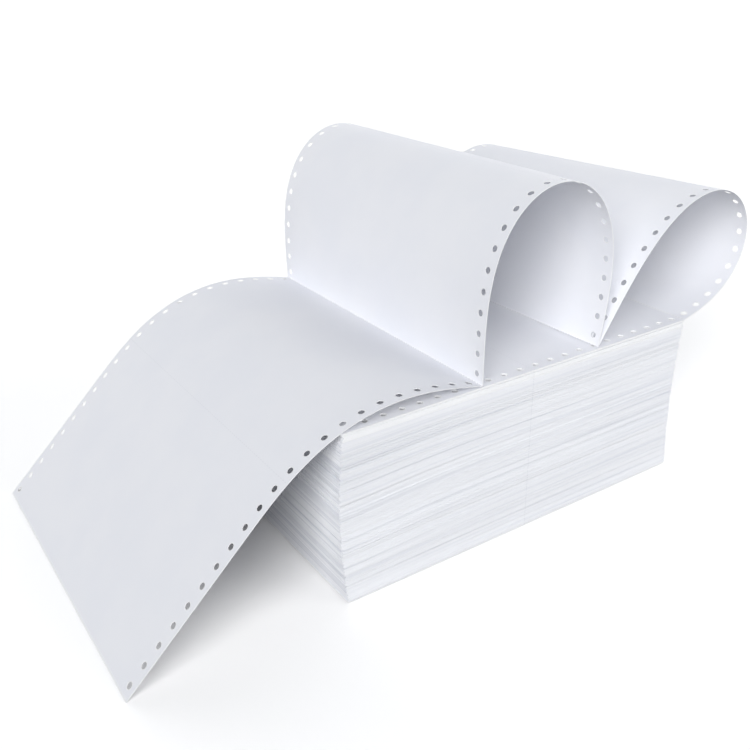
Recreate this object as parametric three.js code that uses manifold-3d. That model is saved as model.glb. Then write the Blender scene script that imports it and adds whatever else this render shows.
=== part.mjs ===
// A fan-folded pile of continuous carbonless copy paper, with its top three forms lifted off it.
//
// The whole thing is one web. Most of it lies folded to and fro in a pile. From the pile's right end the web
// loops up and back to a fold on top of the pile, stands in an arch to a second fold, and then drapes over the
// pile's left end down to the surface that the pile stands on. Sprocket holes run along both edges.
//
// Millimetres. +Z is up, X runs along the web, Y across it, and the origin is the middle of the pile's base.

import * as THREE from "three";
import { mergeVertices } from "three/addons/utils/BufferGeometryUtils.js";
import Module from "manifold-3d";

// The web. A form is the length of it between two folds.
const webWidth = 241.3;
const webThickness = 0.3;
const holePitch = 12.7;
const holesPerForm = 22;
const holeDiameter = 4;
const holeInset = 6;
const holeSides = 8;
const formLength = holePitch * holesPerForm;
const holeRow = webWidth / 2 - holeInset;

// The pile. Two leaves make one fold pitch, with a fold at each end.
const foldPitch = 2.5;
const foldsAtEachEnd = 46;
const leafEdgeGroove = 0.25;
const pileBow = 3.5;
const pileHeight = foldPitch * foldsAtEachEnd;

// The lifted forms: the drape, the arch and the loop. A skew over 1 carries a form's crest towards its far foot, and
// a sharpness over 1 gives it straighter legs and a narrower crest.
const liftedForms = 3;
const drapeFoldInset = 99;
const archSpan = 96;
const archSkew = 1.05;
const archSharpness = 2;
const loopSkewFront = 1.5;
const loopSkewBack = 1.62;
const loopSharpness = 1.6;
const loopFoldSlant = 5;
const drapeBendLength = 175;
const restGap = 0.3;
const seamLap = 3;

// First guesses, in degrees, of the headings at a standing form's two feet, and of the draped form's rise and fall.
const archHeadingGuess = [90, -100];
const loopHeadingGuess = [57, -165];
const drapeSlopeGuess = [14, 41];

const paperColour = 0xe9ecf2;

// A punch reaches this far past each face that it cuts.
const punchOvercut = 1;

// Points nearer to a straight line than this count as on it when solids are cut and joined.
const roundOff = 0.001;

// Points nearer to each other than this are one point.
const mergeDistance = 1e-5;

const wasm = await Module();
wasm.setup();

function solidFrom(geometry) {
  const bare = geometry.clone();
  bare.deleteAttribute("normal");
  bare.deleteAttribute("uv");
  const merged = mergeVertices(bare, mergeDistance);
  return new wasm.Manifold(
    new wasm.Mesh({
      numProp: 3,
      vertProperties: merged.attributes.position.array,
      triVerts: new Uint32Array(merged.index.array),
      tolerance: roundOff,
    }),
  );
}

function geometryFrom(solid) {
  const { vertProperties, triVerts } = solid.getMesh();
  const geometry = new THREE.BufferGeometry();
  geometry.setAttribute("position", new THREE.BufferAttribute(vertProperties, 3));
  geometry.setIndex(new THREE.BufferAttribute(triVerts, 1));
  geometry.computeVertexNormals();
  return geometry;
}

// A closed solid lofted through four-cornered rings. Each ring lists its corners clockwise, seen from the next one.
function loft(rings) {
  const corners = rings.flat();
  const indices = [0, 1, 2, 0, 2, 3];
  for (let ring = 0; ring < rings.length - 1; ring++) {
    for (let side = 0; side < 4; side++) {
      const here = ring * 4 + side;
      const beside = ring * 4 + ((side + 1) % 4);
      indices.push(here, here + 4, beside, beside, here + 4, beside + 4);
    }
  }
  const last = corners.length - 4;
  indices.push(last, last + 2, last + 1, last, last + 3, last + 2);
  const coordinates = corners.flatMap((corner) => corner.toArray());
  const geometry = new THREE.BufferGeometry();
  geometry.setAttribute("position", new THREE.Float32BufferAttribute(coordinates, 3));
  geometry.setIndex(indices);
  return solidFrom(geometry);
}

// A punch for a sprocket hole, standing on Z.
function punchGeometry(length, segments) {
  const geometry = new THREE.CylinderGeometry(holeDiameter / 2, holeDiameter / 2, length, holeSides, segments);
  return geometry.rotateX(Math.PI / 2);
}

// The pair of values at which both of a function's two results are zero, found by Newton's method.
function solvePair(residual, guess) {
  const nudge = 1e-4;
  const rounds = 30;
  let [a, b] = guess;
  for (let round = 0; round < rounds; round++) {
    const here = residual(a, b);
    const alongA = residual(a + nudge, b).sub(here).divideScalar(nudge);
    const alongB = residual(a, b + nudge).sub(here).divideScalar(nudge);
    const determinant = alongA.cross(alongB);
    a -= here.cross(alongB) / determinant;
    b -= alongA.cross(here) / determinant;
  }
  return [a, b];
}

// How far the middle of a sprocket hole lies from its form's first fold.
const holePlace = (hole) => (hole + 0.5) * holePitch;

// Distances along a form at which its profile has a corner. Each sprocket hole lies midway between two of them, so
// it goes through a flat facet.
const facetLength = holePitch / 2;
const stations = [0];
for (let hole = 0; hole < holesPerForm; hole++) {
  stations.push(holePlace(hole) - facetLength / 2, holePlace(hole) + facetLength / 2);
}
stations.push(formLength);

// A form's profile in X and Z, walked from one fold. heading(s) is the direction of travel, in degrees above +X, at
// the distance s from that fold.
function walk(start, heading) {
  const points = [start.clone()];
  for (let i = 1; i < stations.length; i++) {
    const middle = (stations[i] + stations[i - 1]) / 2;
    const angle = THREE.MathUtils.degToRad(heading(middle));
    const direction = new THREE.Vector2(Math.cos(angle), Math.sin(angle));
    points.push(points[i - 1].clone().addScaledVector(direction, stations[i] - stations[i - 1]));
  }
  return points;
}

// A form that stands on two feet. It bends little near the feet and most around its crest. The headings at the feet
// are the ones with which its length just spans them.
function standingForm(start, end, skew, sharpness, guess) {
  const turned = (s) => {
    const share = (s / formLength) ** skew;
    return share ** sharpness / (share ** sharpness + (1 - share) ** sharpness);
  };
  const path = (first, last) => walk(start, (s) => first + (last - first) * turned(s));
  const [first, last] = solvePair((a, b) => path(a, b).at(-1).sub(end), guess);
  return path(first, last);
}

// The height at which a profile that runs towards -X passes a place in X.
function heightAt(profile, x) {
  const next = profile.findIndex((point) => point.x < x);
  const [before, after] = [profile[next - 1], profile[next]];
  return THREE.MathUtils.mapLinear(x, before.x, after.x, before.y, after.y);
}

// The form that drapes over the pile's left end. It rises a little from its fold, bends over, and falls straight to
// its free edge. The rise and the fall are the ones with which it rests on the pile's edge and ends at a height.
function drapedForm(fold, pileEdge, endHeight) {
  const bent = (s) => THREE.MathUtils.smoothstep(s, 0, drapeBendLength);
  const path = (rise, fall) => walk(fold, (s) => 180 - rise + (rise + fall) * bent(s));
  const misses = (profile) =>
    new THREE.Vector2(heightAt(profile, pileEdge.x) - pileEdge.y, profile.at(-1).y - endHeight);
  const [rise, fall] = solvePair((a, b) => misses(path(a, b)), drapeSlopeGuess);
  return path(rise, fall);
}

// How far the pile leans towards its left at a height. It bows out between its base and its top.
const bowAt = (z) => -pileBow * Math.sin((Math.PI * z) / pileHeight);

// The pile. A fold is round at its tip, with a cleft to the next. The folds at one end lie half a pitch above those
// at the other, and the long sides have a groove between each leaf and the next.
function pileSolid() {
  const foldRelief = (phase) => (foldPitch / 2) * (1 - Math.sqrt(1 - (2 * phase - 1) ** 2));
  const levelsPerFold = 4;
  const rings = [];
  for (let level = 0; level <= levelsPerFold * foldsAtEachEnd; level++) {
    const z = (level * foldPitch) / levelsPerFold;
    const phase = (level % levelsPerFold) / levelsPerFold;
    const left = bowAt(z) - formLength / 2 + foldRelief(phase);
    const right = bowAt(z) + formLength / 2 - foldRelief((phase + 0.5) % 1);
    const side = webWidth / 2 - (level % 2 === 0 ? leafEdgeGroove : 0);
    rings.push([
      new THREE.Vector3(left, -side, z),
      new THREE.Vector3(left, side, z),
      new THREE.Vector3(right, side, z),
      new THREE.Vector3(right, -side, z),
    ]);
  }
  return loft(rings).subtract(wasm.Manifold.union(pilePunches()));
}

// The pile's holes. They line up through all its leaves and follow its bow.
function pilePunches() {
  const punches = [];
  for (let hole = 0; hole < holesPerForm; hole++) {
    for (const side of [-1, 1]) {
      const geometry = punchGeometry(pileHeight + 2 * punchOvercut, 2);
      geometry.translate(holePlace(hole) - formLength / 2, side * holeRow, pileHeight / 2);
      const position = geometry.attributes.position;
      for (let i = 0; i < position.count; i++) {
        position.setX(i, position.getX(i) + bowAt(position.getZ(i)));
      }
      punches.push(solidFrom(geometry));
    }
  }
  return punches;
}

// The lifted web's profile, from the draped form's free edge to its seam with the pile.
function webProfile(loopSkew, loopFoldShift) {
  const footHeight = pileHeight + restGap + webThickness;
  const leftEdge = new THREE.Vector2(-formLength / 2, footHeight);
  const rightEdge = new THREE.Vector2(formLength / 2, pileHeight - webThickness);
  const drapeFold = new THREE.Vector2(leftEdge.x + drapeFoldInset, footHeight);
  const loopFold = new THREE.Vector2(drapeFold.x + archSpan + loopFoldShift, footHeight);
  const drape = drapedForm(drapeFold, leftEdge, webThickness / 2).reverse();
  const arch = standingForm(drapeFold, loopFold, archSkew, archSharpness, archHeadingGuess);
  const loop = standingForm(loopFold, rightEdge, loopSkew, loopSharpness, loopHeadingGuess);
  const seam = new THREE.Vector2(rightEdge.x - seamLap, rightEdge.y);
  return [...drape, ...arch.slice(1), ...loop.slice(1), seam];
}

// The two surfaces of a web of the given profile. A corner's points lie on the line that halves the corner, and on
// the outer side of a sharp fold they stay within the web's thickness of it.
function webSurfaces(profile) {
  const half = webThickness / 2;
  return profile.map((point, i) => {
    const before = profile[i - 1] ?? point.clone().multiplyScalar(2).sub(profile[i + 1]);
    const after = profile[i + 1] ?? point.clone().multiplyScalar(2).sub(before);
    const arriving = point.clone().sub(before).normalize();
    const leaving = after.clone().sub(point).normalize();
    const normal = new THREE.Vector2(-arriving.y - leaving.y, arriving.x + leaving.x).normalize();
    const inner = half / normal.dot(new THREE.Vector2(-arriving.y, arriving.x));
    const outer = Math.min(inner, webThickness);
    const turnsLeft = arriving.cross(leaving) > 0;
    return {
      above: point.clone().addScaledVector(normal, turnsLeft ? inner : outer),
      below: point.clone().addScaledVector(normal, turnsLeft ? -outer : -inner),
    };
  });
}

// The lifted web before it is folded: a flat strip along X with its profile's stations, and its sprocket holes.
function flatWebGeometry(stationsAlongWeb) {
  const half = webThickness / 2;
  const edge = webWidth / 2;
  const strip = loft(
    stationsAlongWeb.map((s) => [
      new THREE.Vector3(s, -edge, -half),
      new THREE.Vector3(s, -edge, half),
      new THREE.Vector3(s, edge, half),
      new THREE.Vector3(s, edge, -half),
    ]),
  );
  const punches = [];
  for (let hole = 0; hole < liftedForms * holesPerForm; hole++) {
    for (const side of [-1, 1]) {
      const geometry = punchGeometry(webThickness + 2 * punchOvercut, 1);
      geometry.translate(holePlace(hole), side * holeRow, 0);
      punches.push(solidFrom(geometry));
    }
  }
  return geometryFrom(strip.subtract(wasm.Manifold.union(punches)));
}

// The lifted web. The flat strip takes the profiles of its front and back edges. Between two stations it stays flat,
// so the holes keep their form.
function liftedWebSolid() {
  const front = webProfile(loopSkewFront, 0);
  const back = webProfile(loopSkewBack, -loopFoldSlant);
  const frontSurfaces = webSurfaces(front);
  const backSurfaces = webSurfaces(back);
  const stationsAlongWeb = [0];
  for (let form = 0; form < liftedForms; form++) {
    stationsAlongWeb.push(...stations.slice(1).map((s) => form * formLength + s));
  }
  stationsAlongWeb.push(liftedForms * formLength + seamLap);
  const geometry = flatWebGeometry(stationsAlongWeb);
  const position = geometry.attributes.position;
  for (let i = 0; i < position.count; i++) {
    const [s, y, t] = [position.getX(i), position.getY(i), position.getZ(i)];
    const next = Math.max(stationsAlongWeb.findIndex((station) => station > s - roundOff), 1);
    const along = THREE.MathUtils.inverseLerp(stationsAlongWeb[next - 1], stationsAlongWeb[next], s);
    const side = t > 0 ? "above" : "below";
    const onFront = frontSurfaces[next - 1][side].clone().lerp(frontSurfaces[next][side], along);
    const onBack = backSurfaces[next - 1][side].clone().lerp(backSurfaces[next][side], along);
    const point = onFront.lerp(onBack, y / webWidth + 0.5);
    position.setXYZ(i, point.x, y, point.y);
  }
  return solidFrom(geometry);
}

function fanfoldWeb() {
  const paper = new THREE.MeshStandardMaterial({ color: paperColour, roughness: 0.85, metalness: 0 });
  const mesh = new THREE.Mesh(geometryFrom(pileSolid().add(liftedWebSolid())), paper);
  mesh.name = "fanfold_web";
  return mesh;
}

const copyPaper = new THREE.Group();
copyPaper.add(fanfoldWeb());

export default copyPaper;
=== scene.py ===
# The looks of a fan-folded pile of continuous carbonless copy paper with its top three forms lifted off it.
#
# The paper is one web. Its top is laid out flat, with its sprocket holes, and then folded, by moving each
# point from its place along and across the flat web to its place in space. The rest of the pile is a plain
# ribbon that runs to and fro. Metres throughout.

import math

import bpy
import numpy as np
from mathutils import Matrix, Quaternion, Vector


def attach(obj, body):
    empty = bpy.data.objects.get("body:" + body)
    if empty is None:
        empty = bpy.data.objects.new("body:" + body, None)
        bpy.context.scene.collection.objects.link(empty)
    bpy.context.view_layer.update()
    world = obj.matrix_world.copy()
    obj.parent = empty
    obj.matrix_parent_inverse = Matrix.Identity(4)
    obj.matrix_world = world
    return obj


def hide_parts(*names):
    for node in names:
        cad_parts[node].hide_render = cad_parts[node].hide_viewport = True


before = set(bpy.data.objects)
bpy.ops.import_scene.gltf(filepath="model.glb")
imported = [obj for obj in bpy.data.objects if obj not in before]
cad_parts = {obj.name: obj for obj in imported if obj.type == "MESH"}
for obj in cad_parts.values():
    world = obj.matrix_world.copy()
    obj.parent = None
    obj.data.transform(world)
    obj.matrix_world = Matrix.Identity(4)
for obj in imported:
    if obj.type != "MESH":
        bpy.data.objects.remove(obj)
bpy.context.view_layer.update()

MM = 0.001

# The web. A form is the length of it between two folds.
WEB_WIDTH = 241.3 * MM
WEB_THICKNESS = 0.3 * MM
HOLE_PITCH = 12.7 * MM
HOLES_PER_FORM = 22
HOLE_RADIUS = 2 * MM
HOLE_INSET = 6 * MM
FORM_LENGTH = HOLE_PITCH * HOLES_PER_FORM
EDGE_STRIP = 2 * HOLE_INSET

# The pile. A parting keeps its punched leaves from sharing points while they are flat.
PILE_HEIGHT = 115 * MM
PILE_BOW = 3.5 * MM
LEAVES_HEIGHT = PILE_HEIGHT - WEB_THICKNESS
LEAF_PITCH = 1 / 3 * MM
LEAVES = round(LEAVES_HEIGHT / LEAF_PITCH)
LEAF_HALF_THICKNESS = 0.47 * WEB_THICKNESS
PUNCHED_LEAVES = 14
PARTING = 0.01 * MM

# The lifted forms. A skew over 1 carries a form's crest towards its far foot, and a sharpness over 1 gives it
# straighter legs and a narrower crest.
LIFTED_FORMS = 3
DRAPE_FOLD_INSET = 99 * MM
DRAPE_BEND_LENGTH = 175 * MM
ARCH_SPAN = 96 * MM
ARCH_SKEW = 1.05
ARCH_SHARPNESS = 2
LOOP_SKEW_FRONT = 1.5
LOOP_SKEW_BACK = 1.62
LOOP_SHARPNESS = 1.6
LOOP_FOLD_SLANT = 5 * MM
LOOP_FOLD_RISE = 0.7 * MM
REST_GAP = 0.3 * MM

# First guesses, in degrees, of the headings at a standing form's two feet, and of the draped form's rise
# and fall.
ARCH_HEADING_GUESS = (90, -100)
LOOP_HEADING_GUESS = (57, -165)
DRAPE_SLOPE_GUESS = (14, 41)

# How finely the lifted web is divided: its profile's steps and its mesh's cuts to a hole pitch, and its
# strips across.
PROFILE_STEPS = 12
WEB_CUTS = 6
WEB_STRIPS = 18

# The same for a punched leaf, and the steps of a plain leaf.
LEAF_CUTS = 2
LEAF_STRIPS = 1
LEAF_STEPS = 26

# The photograph's camera. Its focal length is in pixels of the photograph.
PHOTO_WIDTH = 750
FOCAL_LENGTH = 890.3
SENSOR_WIDTH = 36
CAMERA_PLACE = Vector((-351.2, -481.1, 350.8)) * MM
CAMERA_AZIMUTH = math.radians(-33.04)
CAMERA_ELEVATION = math.radians(25.63)
CAMERA_ROLL = math.radians(-1.16)

random = np.random.default_rng(12)


# Profiles

STEPS_PER_FORM = HOLES_PER_FORM * PROFILE_STEPS
STEP = FORM_LENGTH / STEPS_PER_FORM
MIDDLES = (np.arange(STEPS_PER_FORM) + 0.5) * STEP


def solve_pair(residual, guess):
    """The pair of values at which both results of residual are zero, by Newton's method."""
    values = np.array(guess, float)
    nudge = 1e-4
    rounds = 30
    for _ in range(rounds):
        here = residual(*values)
        slopes = np.stack([(residual(*(values + nudge * axis)) - here) / nudge for axis in np.eye(2)], 1)
        values -= np.linalg.solve(slopes, here)
    return values


def walk(start, heading):
    """A form's profile in X and Z. heading is its direction in degrees above +X at each step's middle."""
    angle = np.radians(heading)
    moves = STEP * np.stack([np.cos(angle), np.sin(angle)], 1)
    return np.concatenate([[start], start + np.cumsum(moves, 0)])


def standing_form(start, end, skew, sharpness, guess):
    """A form on two feet, which bends little near them and most around its crest."""
    share = (MIDDLES / FORM_LENGTH) ** skew
    turned = share ** sharpness / (share ** sharpness + (1 - share) ** sharpness)

    def path(first, last):
        return walk(start, first + (last - first) * turned)

    return path(*solve_pair(lambda first, last: path(first, last)[-1] - end, guess))


def draped_form(fold, pile_edge, end_height):
    """The form over the pile's left end. It rests on the pile's edge and falls straight to its free edge."""
    share = np.clip(MIDDLES / DRAPE_BEND_LENGTH, 0, 1)
    bent = share * share * (3 - 2 * share)

    def path(rise, fall):
        return walk(fold, 180 - rise + (rise + fall) * bent)

    def misses(rise, fall):
        profile = path(rise, fall)
        over_edge = np.interp(-pile_edge[0], -profile[:, 0], profile[:, 1])
        return np.array([over_edge - pile_edge[1], profile[-1, 1] - end_height])

    return path(*solve_pair(misses, DRAPE_SLOPE_GUESS))


def lifted_profile(loop_skew, fold_shift):
    """The lifted forms' profile, from the draped form's free edge to the pile's right edge."""
    foot_height = PILE_HEIGHT + REST_GAP + WEB_THICKNESS
    left_edge = np.array([-FORM_LENGTH / 2, foot_height])
    right_edge = np.array([FORM_LENGTH / 2, PILE_HEIGHT - WEB_THICKNESS / 2])
    drape_fold = np.array([left_edge[0] + DRAPE_FOLD_INSET, foot_height])
    loop_fold = drape_fold + (ARCH_SPAN + fold_shift, LOOP_FOLD_RISE)
    drape = draped_form(drape_fold, left_edge, WEB_THICKNESS / 2)[::-1]
    arch = standing_form(drape_fold, loop_fold, ARCH_SKEW, ARCH_SHARPNESS, ARCH_HEADING_GUESS)
    loop = standing_form(loop_fold, right_edge, loop_skew, LOOP_SHARPNESS, LOOP_HEADING_GUESS)
    return np.concatenate([drape, arch[1:], loop[1:]])


# The pile's leaves, numbered from the lowest

def smooth_noise(count, spacing):
    """For each of count leaves a value between -1 and 1, which wanders to a new aim every spacing leaves."""
    aims = random.uniform(-1, 1, int(count / spacing) + 3)
    return np.interp(np.arange(count) / spacing, np.arange(len(aims)), aims)


def side_offset(scatter):
    """How far each leaf stands out of one side of the pile. Its own scatter is in millimetres."""
    wander = 0.2
    return (wander * smooth_noise(LEAVES, spacing=6) + scatter * random.uniform(-1, 1, LEAVES)) * MM


# Openings between some of the leaves. Each lies on its leaf and is widest at one place along X. Far from
# there a quarter of its width is left.
GAPS = 34
GAP_LEFT_OPEN = 0.25
gap_leaf = np.sort(random.choice(np.arange(6, LEAVES - 2), GAPS, replace=False))
gap_width = random.uniform(0.1, 0.42, GAPS) * MM
gap_place = random.choice([-1, -1, -0.5, 0.5, 1], GAPS) * FORM_LENGTH / 2
gap_reach = random.uniform(60, 220, GAPS) * MM

# The pile's ends. The leaves of a bundle stand out most in its middle, and least where two bundles meet.
DEEPEST_END = 1.8 * MM
LEAVES_PER_BUNDLE = 7
bundle = np.arange(LEAVES) / LEAVES_PER_BUNDLE
bundle_phase = (bundle + 0.25 * smooth_noise(LEAVES, spacing=9)) % 1
front_offset = side_offset(scatter=0.14)
back_offset = side_offset(scatter=0.1)
end_swell = 1.2 * np.abs(np.sin(np.pi * bundle_phase))
end_scatter = 0.32 * random.uniform(-1, 1, LEAVES)
end_offset = (end_swell + end_scatter) * MM

# The lowest leaves lie in a little from the sides.
LOWEST_LEAVES = 2
LOWEST_INSET = 1.2 * MM
front_offset[:LOWEST_LEAVES] = back_offset[:LOWEST_LEAVES] = -LOWEST_INSET
end_offset[:LOWEST_LEAVES] = 0

# The leaves droop at the pile's left end and wave a little all along, the middle ones the most.
CORNER_DROOP = 2.6 * MM
CORNER_DROOP_REACH = 45 * MM
WAVE_HEIGHT = 0.25 * MM
WAVE_REACH = 38 * MM
WAVE_SHIFT = 3


def leaf_height(leaf, x):
    """The height of a leaf's middle at places along X."""
    from_widest = (x - gap_place[:, None]) / gap_reach[:, None]
    opened = gap_width[:, None] * (GAP_LEFT_OPEN + (1 - GAP_LEFT_OPEN) * np.exp(-(from_widest ** 2)))
    under = opened[gap_leaf < leaf].sum(0)
    squeeze = 1 - opened.sum(0) / LEAVES_HEIGHT
    z = (leaf + 0.5) * LEAVES_HEIGHT / LEAVES * squeeze + under
    share = z / PILE_HEIGHT
    from_left = (x + FORM_LENGTH / 2) / CORNER_DROOP_REACH
    droop = CORNER_DROOP * np.sin(np.pi * share) * np.exp(-from_left ** 2)
    wave = WAVE_HEIGHT * np.sin(np.pi * share) * np.sin(x / WAVE_REACH + WAVE_SHIFT * share)
    return z - droop + wave


def leaf_end(leaf, side, z):
    """Where a leaf turns into its fold. side is -1 at the pile's left and 1 at its right."""
    bow = -PILE_BOW * np.sin(np.pi * z / PILE_HEIGHT)
    return side * (FORM_LENGTH / 2 - DEEPEST_END + end_offset[leaf]) + bow


# Meshes

def new_piece(name, vertices, faces, flat_places):
    """A mesh object. flat_places gives each vertex its place on the unfolded paper, kept as a UV."""
    mesh = bpy.data.meshes.new(name)
    mesh.from_pydata(vertices.tolist(), [], faces)
    layer = mesh.uv_layers.new(name="flat_web")
    corners = np.array([loop.vertex_index for loop in mesh.loops])
    layer.data.foreach_set("uv", flat_places[corners].astype(np.float32).ravel())
    piece = bpy.data.objects.new(name, mesh)
    bpy.context.scene.collection.objects.link(piece)
    return piece


def smooth_with_sharp_edges(piece, degrees):
    """Applies the piece's modifiers and shades it smooth, apart from edges sharper than an angle."""
    graph = bpy.context.evaluated_depsgraph_get()
    mesh = bpy.data.meshes.new_from_object(piece.evaluated_get(graph), depsgraph=graph)
    piece.modifiers.clear()
    piece.data = mesh
    mesh.polygons.foreach_set("use_smooth", np.ones(len(mesh.polygons), bool))
    mesh.set_sharp_from_angle(angle=math.radians(degrees))


class FlatWeb:
    """A stretch of the web while it is flat, as places along and across it."""

    places_per_metre = 1e7
    rim_width = 0.7 * MM

    def __init__(self):
        self.index = {}
        self.places = []
        self.faces = []

    def at(self, along, across):
        """The number of the vertex at a place. Places in the same tenth of a micrometre share it."""
        key = (round(along * self.places_per_metre), round(across * self.places_per_metre))
        if key not in self.index:
            self.index[key] = len(self.places)
            self.places.append((along, across))
        return self.index[key]

    def ring(self, points):
        return [self.at(*point) for point in points]

    def join(self, outer, inner):
        for i in range(len(outer)):
            j = (i + 1) % len(outer)
            self.faces.append((outer[i], outer[j], inner[j], inner[i]))

    def hole_cell(self, start, edge, inward, cuts):
        """A cell round a sprocket hole, one pitch long. inward is 1 from the front edge, -1 from the back."""
        step_along, step_across = HOLE_PITCH / cuts, EDGE_STRIP / cuts
        corners = [(i, 0) for i in range(cuts)] + [(cuts, i) for i in range(cuts)]
        corners += [(cuts - i, cuts) for i in range(cuts)] + [(0, cuts - i) for i in range(cuts)]
        outer = [(start + i * step_along, edge + inward * j * step_across) for i, j in corners]
        x, y = start + HOLE_PITCH / 2, edge + inward * HOLE_INSET
        angles = [math.atan2(across - y, along - x) for along, across in outer]
        rim, hole = (
            [(x + radius * math.cos(angle), y + radius * math.sin(angle)) for angle in angles]
            for radius in (HOLE_RADIUS + self.rim_width, HOLE_RADIUS)
        )
        outer, rim, hole = (self.ring(points)[::inward] for points in (outer, rim, hole))
        self.join(outer, rim)
        self.join(rim, hole)

    def form(self, start, cuts, strips):
        """One form's length of web. cuts is its steps to a hole pitch, and strips its divisions across."""
        edge = WEB_WIDTH / 2
        for hole in range(HOLES_PER_FORM):
            for side in (-1, 1):
                self.hole_cell(start + hole * HOLE_PITCH, side * edge, -side, cuts)
        across = np.linspace(-edge + EDGE_STRIP, edge - EDGE_STRIP, strips + 1)
        along = start + np.arange(HOLES_PER_FORM * cuts + 1) * HOLE_PITCH / cuts
        grid = [self.ring([(s, y) for y in across]) for s in along]
        for row, following in zip(grid, grid[1:]):
            for i in range(strips):
                self.faces.append((row[i], following[i], following[i + 1], row[i + 1]))


def fold_between(front, back, places):
    """Moves places on the flat web to the ruled surface between two profiles."""
    length = np.arange(len(front)) * STEP
    along, across = places.T
    share = (across / WEB_WIDTH + 0.5)[:, None]

    def on_edge(profile):
        return np.stack([np.interp(along, length, profile[:, axis]) for axis in (0, 1)], 1)

    x, z = (on_edge(front) * (1 - share) + on_edge(back) * share).T
    return np.stack([x, across, z], 1)


def lay_flat_form(vertices, places):
    """Moves what follows the lifted forms onto the pile's top, from its right edge to its left."""
    along = places[:, 0]
    fold = LIFTED_FORMS * FORM_LENGTH
    tolerance = 1e-6
    flat = along > fold + tolerance
    vertices[flat, 0] = FORM_LENGTH / 2 - (along[flat] - fold)
    vertices[flat, 2] = PILE_HEIGHT - WEB_THICKNESS / 2


def lay_punched_leaf(vertices, places, under, start):
    """Moves a leaf to its place. under counts the leaves above it, and start is its start on the web."""
    along, across = places.T
    leaf = LEAVES - 1 - under
    from_middle = along - start - FORM_LENGTH / 2
    own = np.abs(from_middle) < (FORM_LENGTH + PARTING) / 2
    direction = 1 if under % 2 == 0 else -1
    left, right = (leaf_end(leaf, side, PILE_HEIGHT) for side in (-1, 1))
    x = (left + right) / 2 + direction * from_middle[own] * (right - left) / FORM_LENGTH
    vertices[own, 0] = x
    vertices[own, 1] += np.where(across[own] < 0, -front_offset[leaf], back_offset[leaf])
    vertices[own, 2] = leaf_height(leaf, x)


def make_top_web():
    """The lifted forms, the flat form on top of the pile, and the punched leaves just under it."""
    web = FlatWeb()
    for form in range(LIFTED_FORMS + 1):
        web.form(form * FORM_LENGTH, WEB_CUTS, WEB_STRIPS)
    first_leaf = (LIFTED_FORMS + 1) * FORM_LENGTH + PARTING
    leaf_starts = [first_leaf + under * (FORM_LENGTH + PARTING) for under in range(PUNCHED_LEAVES)]
    for start in leaf_starts:
        web.form(start, LEAF_CUTS, LEAF_STRIPS)
    places = np.array(web.places)
    front = lifted_profile(LOOP_SKEW_FRONT, 0)
    back = lifted_profile(LOOP_SKEW_BACK, -LOOP_FOLD_SLANT)
    vertices = fold_between(front, back, places)
    lay_flat_form(vertices, places)
    for under, start in enumerate(leaf_starts):
        lay_punched_leaf(vertices, places, under, start)
    piece = new_piece("top_web", vertices, web.faces, places)
    solidify = piece.modifiers.new("thickness", "SOLIDIFY")
    solidify.thickness = WEB_THICKNESS
    solidify.offset = 0
    smooth_with_sharp_edges(piece, degrees=40)
    return piece


def leaf_path(leaf):
    """A leaf's middle line in X and Z, and round the fold at its end to the leaf above."""
    side = 1 if leaf % 2 == 0 else -1
    samples = FORM_LENGTH / 2 * -np.cos(np.pi * np.arange(LEAF_STEPS + 1) / LEAF_STEPS)
    z = leaf_height(leaf, samples)
    left, right = leaf_end(leaf, -1, z[0]), leaf_end(leaf, 1, z[-1])
    x = left + (right - left) * (samples / FORM_LENGTH + 0.5)
    run = np.stack([x, z], 1)[::side]
    fold_height = (leaf_height(leaf + 1, samples) - z)[-1 if side > 0 else 0]
    turn = np.radians([-50, 0, 50])
    out, up = side * fold_height / 2 * np.cos(turn), fold_height / 2 * (1 + np.sin(turn))
    return np.concatenate([run, run[-1] + np.stack([out, up], 1)])


def tube_faces(rings, corners):
    """The faces of a closed tube of so many rings, each with so many corners."""
    faces = [tuple(range(corners))]
    for ring in range(rings - 1):
        for i in range(corners):
            here, beside = corners * ring + i, corners * ring + (i + 1) % corners
            faces.append((here, here + corners, beside + corners, beside))
    end = corners * (rings - 1)
    faces.append(tuple(end + i for i in reversed(range(corners))))
    return faces


def make_pile_leaves():
    """The rest of the pile, as one ribbon folded to and fro."""
    paths = [leaf_path(leaf) for leaf in range(LEAVES - PUNCHED_LEAVES)]
    path = np.concatenate(paths)
    leaf = np.repeat(np.arange(len(paths)), len(paths[0]))
    front, back = -WEB_WIDTH / 2 - front_offset[leaf], WEB_WIDTH / 2 + back_offset[leaf]
    along = np.gradient(path, axis=0)
    along /= np.linalg.norm(along, axis=1)[:, None]
    normal = np.stack([-along[:, 1], along[:, 0]], 1) * LEAF_HALF_THICKNESS
    above, below = path + normal, path - normal
    edges = ((below, front), (above, front), (above, back), (below, back))
    rings = np.stack([np.stack([line[:, 0], y, line[:, 1]], 1) for line, y in edges], 1)
    faces = tube_faces(len(path), len(edges))
    leaf_place = np.repeat(np.stack([path[:, 0], leaf * LEAF_PITCH], 1), len(edges), 0)
    piece = new_piece("pile_leaves", rings.reshape(-1, 3), faces, leaf_place)
    smooth_with_sharp_edges(piece, degrees=60)
    return piece


# Materials

PAPER = (0.919, 0.926, 0.962)
PAPER_SHADE = (0.9, 0.91, 0.953)
# Painted highlight for the cut rims and the creases.
PAINTED_HIGHLIGHT = (0.98, 0.985, 0.995)
# Painted shade seen in the perforation slits.
PERFORATION_SHADE = (0.6, 0.62, 0.67)
LEAF = (0.93, 0.938, 0.965)
LEAF_SHADE = (0.8, 0.815, 0.865)
# Painted shade between the folds at the pile's ends.
PAINTED_FOLD_SHADE = (0.66, 0.675, 0.74)
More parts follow.
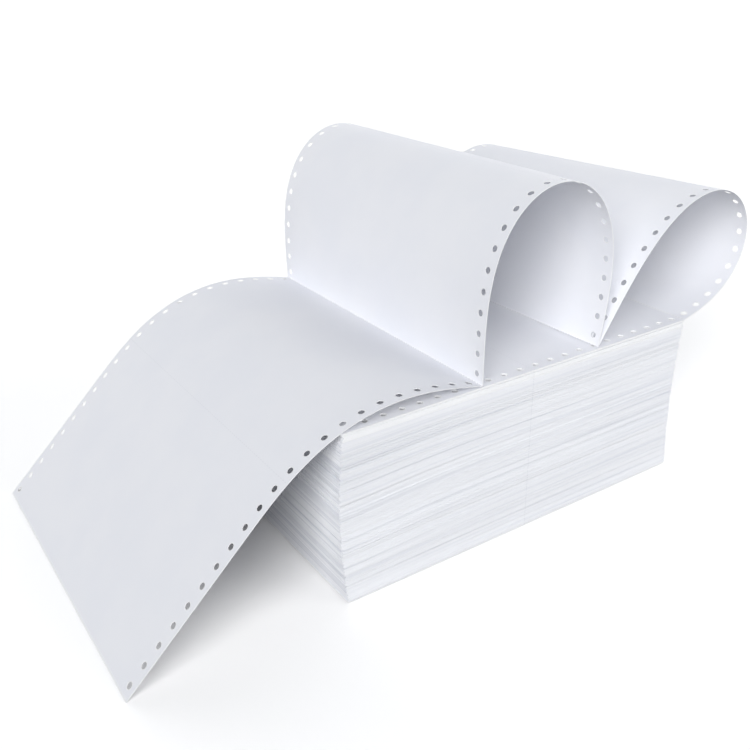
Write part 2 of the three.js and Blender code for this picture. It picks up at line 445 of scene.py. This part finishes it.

# The marks on the paper: painted highlights along the rims of the holes, along the web's sides and along
# creases, and painted shade in the perforation slits. Each is full up to its first distance and has faded
# away at its second. A hole rim's distances are from the hole's middle, and the others from a line.
HOLE_RIM_HIGHLIGHT = (HOLE_RADIUS, HOLE_RADIUS + 0.8 * MM)
SIDE_RIM_HIGHLIGHT = (0.0, 1.0 * MM)
CREASE_HIGHLIGHT = (0.2 * MM, 1.4 * MM)
FOLD_CUTS = (0.15 * MM, 0.4 * MM)
MIDDLE_CUTS = (0.1 * MM, 0.35 * MM)
LEAF_MIDDLE_CUTS = (0.15 * MM, 0.5 * MM)

# A perforation's ties and cuts, as distances from a tie's middle
TIE_END = 0.45 * MM
CUT_START = 0.65 * MM
CUT_MIDDLE = 1.3 * MM

# The depth of the paper's relief
PAPER_RELIEF = 0.05 * MM
LEAF_RELIEF = 0.03 * MM


class Value:
    """A shader socket with arithmetic. An expression adds the Math nodes that work it out."""

    def __init__(self, nodes, socket):
        self.nodes = nodes
        self.socket = socket

    def math(self, operation, *others):
        return self.nodes.add("ShaderNodeMath", {"operation": operation}, self, *others)

    def __add__(self, other):
        return self.math("ADD", other)

    def __radd__(self, other):
        return self.math("ADD", other)

    def __sub__(self, other):
        return self.math("SUBTRACT", other)

    def __rsub__(self, other):
        return self.nodes.add("ShaderNodeMath", {"operation": "SUBTRACT"}, other, self)

    def __mul__(self, other):
        return self.math("MULTIPLY", other)

    def __rmul__(self, other):
        return self.math("MULTIPLY", other)


def find_socket(sockets, key):
    """A socket by its number, its identifier, or its name with _ for each space."""
    if isinstance(key, int):
        return sockets[key]
    return next(socket for socket in sockets if key in (socket.identifier, socket.name.replace(" ", "_")))


class Nodes:
    """The nodes of one material."""

    def __init__(self, tree):
        self.tree = tree

    def add(self, kind, settings, *values, output=0, **named):
        """A node of a kind: its settings first, then its sockets' values or links, by order or by name."""
        node = self.tree.nodes.new(kind)
        for key, value in settings.items():
            setattr(node, key, value)
        for key, value in [*enumerate(values), *named.items()]:
            socket = find_socket(node.inputs, key)
            if isinstance(value, Value):
                self.tree.links.new(value.socket, socket)
            else:
                socket.default_value = value
        return Value(self, find_socket(node.outputs, output)) if node.outputs else None

    def between(self, value, low, high):
        """0 where a value is under low, 1 over high, and a smooth step in between."""
        settings = {"interpolation_type": "SMOOTHSTEP"}
        return self.add("ShaderNodeMapRange", settings, value, low, high, 0.0, 1.0)

    def near(self, distance, full, none):
        """1 within one distance of a line, and 0 beyond another."""
        return 1 - self.between(distance, full, none)

    def mix(self, share, first, second):
        """A colour that goes from first to second."""
        first, second = (colour if isinstance(colour, Value) else (*colour, 1) for colour in (first, second))
        sockets = {"Factor_Float": share, "A_Color": first, "B_Color": second}
        return self.add("ShaderNodeMix", {"data_type": "RGBA"}, output="Result_Color", **sockets)

    def part(self, vector, axis):
        """One axis of a vector."""
        return self.add("ShaderNodeSeparateXYZ", {}, vector, output=axis)

    def noise(self, place, scale, detail, roughness):
        sockets = {"Vector": place, "Scale": scale, "Detail": detail, "Roughness": roughness}
        return self.add("ShaderNodeTexNoise", {}, **sockets)


def new_material(name):
    material = bpy.data.materials.new(name)
    material.use_nodes = True
    material.node_tree.nodes.clear()
    return material, Nodes(material.node_tree)


def paper_surface(nodes, colour, height, relief):
    """Matt paper of a colour. A height of 1 lies relief metres above a height of 0."""
    bump = nodes.add("ShaderNodeBump", {}, Strength=1.0, Distance=relief, Height=height)
    sockets = {"Base_Color": colour, "Roughness": 0.72, "Normal": bump, "Specular_IOR_Level": 0.25}
    shader = nodes.add("ShaderNodeBsdfPrincipled", {}, **sockets)
    nodes.add("ShaderNodeOutputMaterial", {}, Surface=shader)


def web_material():
    """The lifted web: faint fibres and clouds, painted highlights on the cut rims and creases, and
    perforations at folds and mid-form darkened with painted shade.
    """
    material, nodes = new_material("carbonless_paper")
    place = nodes.add("ShaderNodeTexCoord", {}, output="Object")
    clouds = nodes.noise(place, scale=22.0, detail=3.0, roughness=0.55)
    fibres = nodes.noise(place, scale=900.0, detail=4.0, roughness=0.7)

    flat = nodes.add("ShaderNodeUVMap", {"uv_map": "flat_web"})
    along, across = nodes.part(flat, "X"), nodes.part(flat, "Y")
    from_edge = WEB_WIDTH / 2 - across.math("ABSOLUTE")
    from_fold = along.math("PINGPONG", FORM_LENGTH / 2)
    hole_along = along.math("FLOORED_MODULO", HOLE_PITCH) - HOLE_PITCH / 2
    hole_across = from_edge - HOLE_INSET
    from_hole = (hole_along * hole_along + hole_across * hole_across).math("SQRT")

    # Painted highlights along the hole rims and the web's sides, and fainter ones along the creases at folds.
    rim_highlights = nodes.near(from_hole, *HOLE_RIM_HIGHLIGHT).math("MAXIMUM", nodes.near(from_edge, *SIDE_RIM_HIGHLIGHT))
    painted_highlights = rim_highlights.math("MAXIMUM", nodes.near(from_fold, *CREASE_HIGHLIGHT) * 0.7)
    # Painted shade in the perforation slits at the folds and mid-form. The same mask also dents the bump.
    dash = nodes.between(across.math("PINGPONG", CUT_MIDDLE), TIE_END, CUT_START)
    fold_cuts = nodes.near(from_fold, *FOLD_CUTS) * dash * 0.45
    middle_cuts = nodes.near(FORM_LENGTH / 2 - from_fold, *MIDDLE_CUTS) * dash * 0.2
    cuts = fold_cuts.math("MAXIMUM", middle_cuts)

    tint = nodes.mix(nodes.between(clouds, 0.35, 0.65), PAPER, PAPER_SHADE)
    tint = nodes.mix(painted_highlights, tint, PAINTED_HIGHLIGHT)
    tint = nodes.mix(cuts, tint, PERFORATION_SHADE)
    height = fibres * 0.35 + clouds * 0.6 - cuts
    paper_surface(nodes, tint, height, PAPER_RELIEF)
    return material


def leaves_material():
    """The pile's leaves, seen at their edges and folds. Each, and each few, is lighter or darker, with
    painted shade between the folds and at the mid-form perforation.
    """
    material, nodes = new_material("folded_leaves")
    leaf_place = nodes.add("ShaderNodeUVMap", {"uv_map": "flat_web"})
    run, height = nodes.part(leaf_place, "X"), nodes.part(leaf_place, "Y")

    def streaks(run_scale, leaf_scale):
        """Noise drawn out along the leaves. The scales are in features to the metre."""
        stretched = nodes.add("ShaderNodeCombineXYZ", {}, run * run_scale, height * leaf_scale)
        return nodes.noise(stretched, scale=1.0, detail=2.0, roughness=0.6)

    single_leaves = streaks(run_scale=6.0, leaf_scale=1800.0)
    few_leaves = streaks(run_scale=4.0, leaf_scale=330.0)
    shade = nodes.between(single_leaves, 0.5, 0.72) * 0.45 + nodes.between(few_leaves, 0.47, 0.68) * 0.55
    tint = nodes.mix(shade, LEAF, LEAF_SHADE)

    # The mid-form perforation on the leaves' edges, darkened with painted shade.
    broken = nodes.between(single_leaves, 0.4, 0.6)
    middle_cuts = nodes.near(run.math("ABSOLUTE"), *LEAF_MIDDLE_CUTS) * broken
    tint = nodes.mix(middle_cuts * 0.35, tint, PERFORATION_SHADE)

    # Painted shade streaks between the folds, on faces turned along X at the pile's ends.
    normal = nodes.add("ShaderNodeTexCoord", {}, output="Normal")
    at_folds = nodes.between(nodes.part(normal, "X").math("ABSOLUTE"), 0.2, 0.4)
    fold_shade_streaks = nodes.between(streaks(run_scale=9.0, leaf_scale=900.0), 0.47, 0.6)
    tint = nodes.mix(at_folds * fold_shade_streaks * 0.5, tint, PAINTED_FOLD_SHADE)
    paper_surface(nodes, tint, single_leaves, LEAF_RELIEF)
    return material


# The stage

# The floor lights the object with one colour and shows another, and so does the sky.
FLOOR_REACH = 15.0
FLOOR_HEIGHT = -0.05 * MM
FLOOR_BOUNCE = (0.28, 0.28, 0.28, 1)
FLOOR_SEEN = (1.38, 1.37, 1.36, 1)
SKY = (0.75, 0.85, 1.0, 1)
SKY_LEVEL = 0.11
WHITE = (1, 1, 1, 1)


def looked_at(nodes):
    """1 for the rays that show the floor or the sky itself, from the camera, in a gloss or through glass."""
    camera, glossy, through = (
        nodes.add("ShaderNodeLightPath", {}, output=f"Is_{kind}_Ray")
        for kind in ("Camera", "Glossy", "Transmission")
    )
    return camera.math("MAXIMUM", glossy).math("MAXIMUM", through)


def make_floor():
    """A white floor that keeps the object's shadow."""
    mesh = bpy.data.meshes.new("floor")
    around = ((-1, -1), (1, -1), (1, 1), (-1, 1))
    corners = [(x * FLOOR_REACH, y * FLOOR_REACH, FLOOR_HEIGHT) for x, y in around]
    mesh.from_pydata(corners, [], [(0, 1, 2, 3)])
    floor = bpy.data.objects.new("floor", mesh)
    bpy.context.scene.collection.objects.link(floor)
    material, nodes = new_material("floor")
    bounce = nodes.add("ShaderNodeBsdfDiffuse", {}, Color=FLOOR_BOUNCE)
    seen = nodes.add("ShaderNodeBsdfDiffuse", {}, Color=FLOOR_SEEN)
    shader = nodes.add("ShaderNodeMixShader", {}, looked_at(nodes), bounce, seen)
    nodes.add("ShaderNodeOutputMaterial", {}, Surface=shader)
    floor.data.materials.append(material)


def make_sky():
    """A pale sky, which looks white."""
    world = bpy.data.worlds.new("sky")
    bpy.context.scene.world = world
    world.use_nodes = True
    world.node_tree.nodes.clear()
    nodes = Nodes(world.node_tree)
    sky = nodes.add("ShaderNodeBackground", {}, Color=SKY, Strength=SKY_LEVEL)
    backdrop = nodes.add("ShaderNodeBackground", {}, Color=WHITE, Strength=1.0)
    shader = nodes.add("ShaderNodeMixShader", {}, looked_at(nodes), sky, backdrop)
    nodes.add("ShaderNodeOutputWorld", {}, Surface=shader)


def make_sun(name, towards_lamp, level, softness):
    """A soft lamp far away. level is what it adds to a white face turned to it. softness is in degrees."""
    lamp = bpy.data.lights.new(name, "SUN")
    lamp.energy = level * math.pi
    lamp.angle = math.radians(softness)
    holder = bpy.data.objects.new(name, lamp)
    holder.rotation_mode = "QUATERNION"
    holder.rotation_quaternion = Vector(towards_lamp).to_track_quat("Z", "Y")
    bpy.context.scene.collection.objects.link(holder)


def make_camera():
    camera = bpy.data.objects.new("camera", bpy.data.cameras.new("camera"))
    camera.data.sensor_width = SENSOR_WIDTH
    camera.data.lens = SENSOR_WIDTH * FOCAL_LENGTH / PHOTO_WIDTH
    camera.data.clip_start = 0.01
    camera.data.clip_end = 4 * FLOOR_REACH
    camera.location = CAMERA_PLACE
    forward = Vector((
        -math.sin(CAMERA_AZIMUTH) * math.cos(CAMERA_ELEVATION),
        math.cos(CAMERA_AZIMUTH) * math.cos(CAMERA_ELEVATION),
        -math.sin(CAMERA_ELEVATION),
    ))
    camera.rotation_mode = "QUATERNION"
    camera.rotation_quaternion = forward.to_track_quat("-Z", "Y") @ Quaternion((0, 0, 1), CAMERA_ROLL)
    bpy.context.scene.collection.objects.link(camera)
    bpy.context.scene.camera = camera


bpy.context.scene.view_settings.view_transform = "Standard"
make_camera()
make_floor()
make_sky()
make_sun("left_lamp", towards_lamp=(-0.75, -0.55, 0.4), level=0.63, softness=40)
make_sun("high_lamp", towards_lamp=(-0.45, -0.6, 0.66), level=0.22, softness=50)
make_sun("right_lamp", towards_lamp=(0.7, -0.7, 0.15), level=0.51, softness=50)
make_sun("back_lamp", towards_lamp=(0.75, 0.6, 0.3), level=0.63, softness=90)

top_web = make_top_web()
top_web.data.materials.append(web_material())
pile_leaves = make_pile_leaves()
pile_leaves.data.materials.append(leaves_material())
for piece in (top_web, pile_leaves):
    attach(piece, "root")
    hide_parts("fanfold_web")
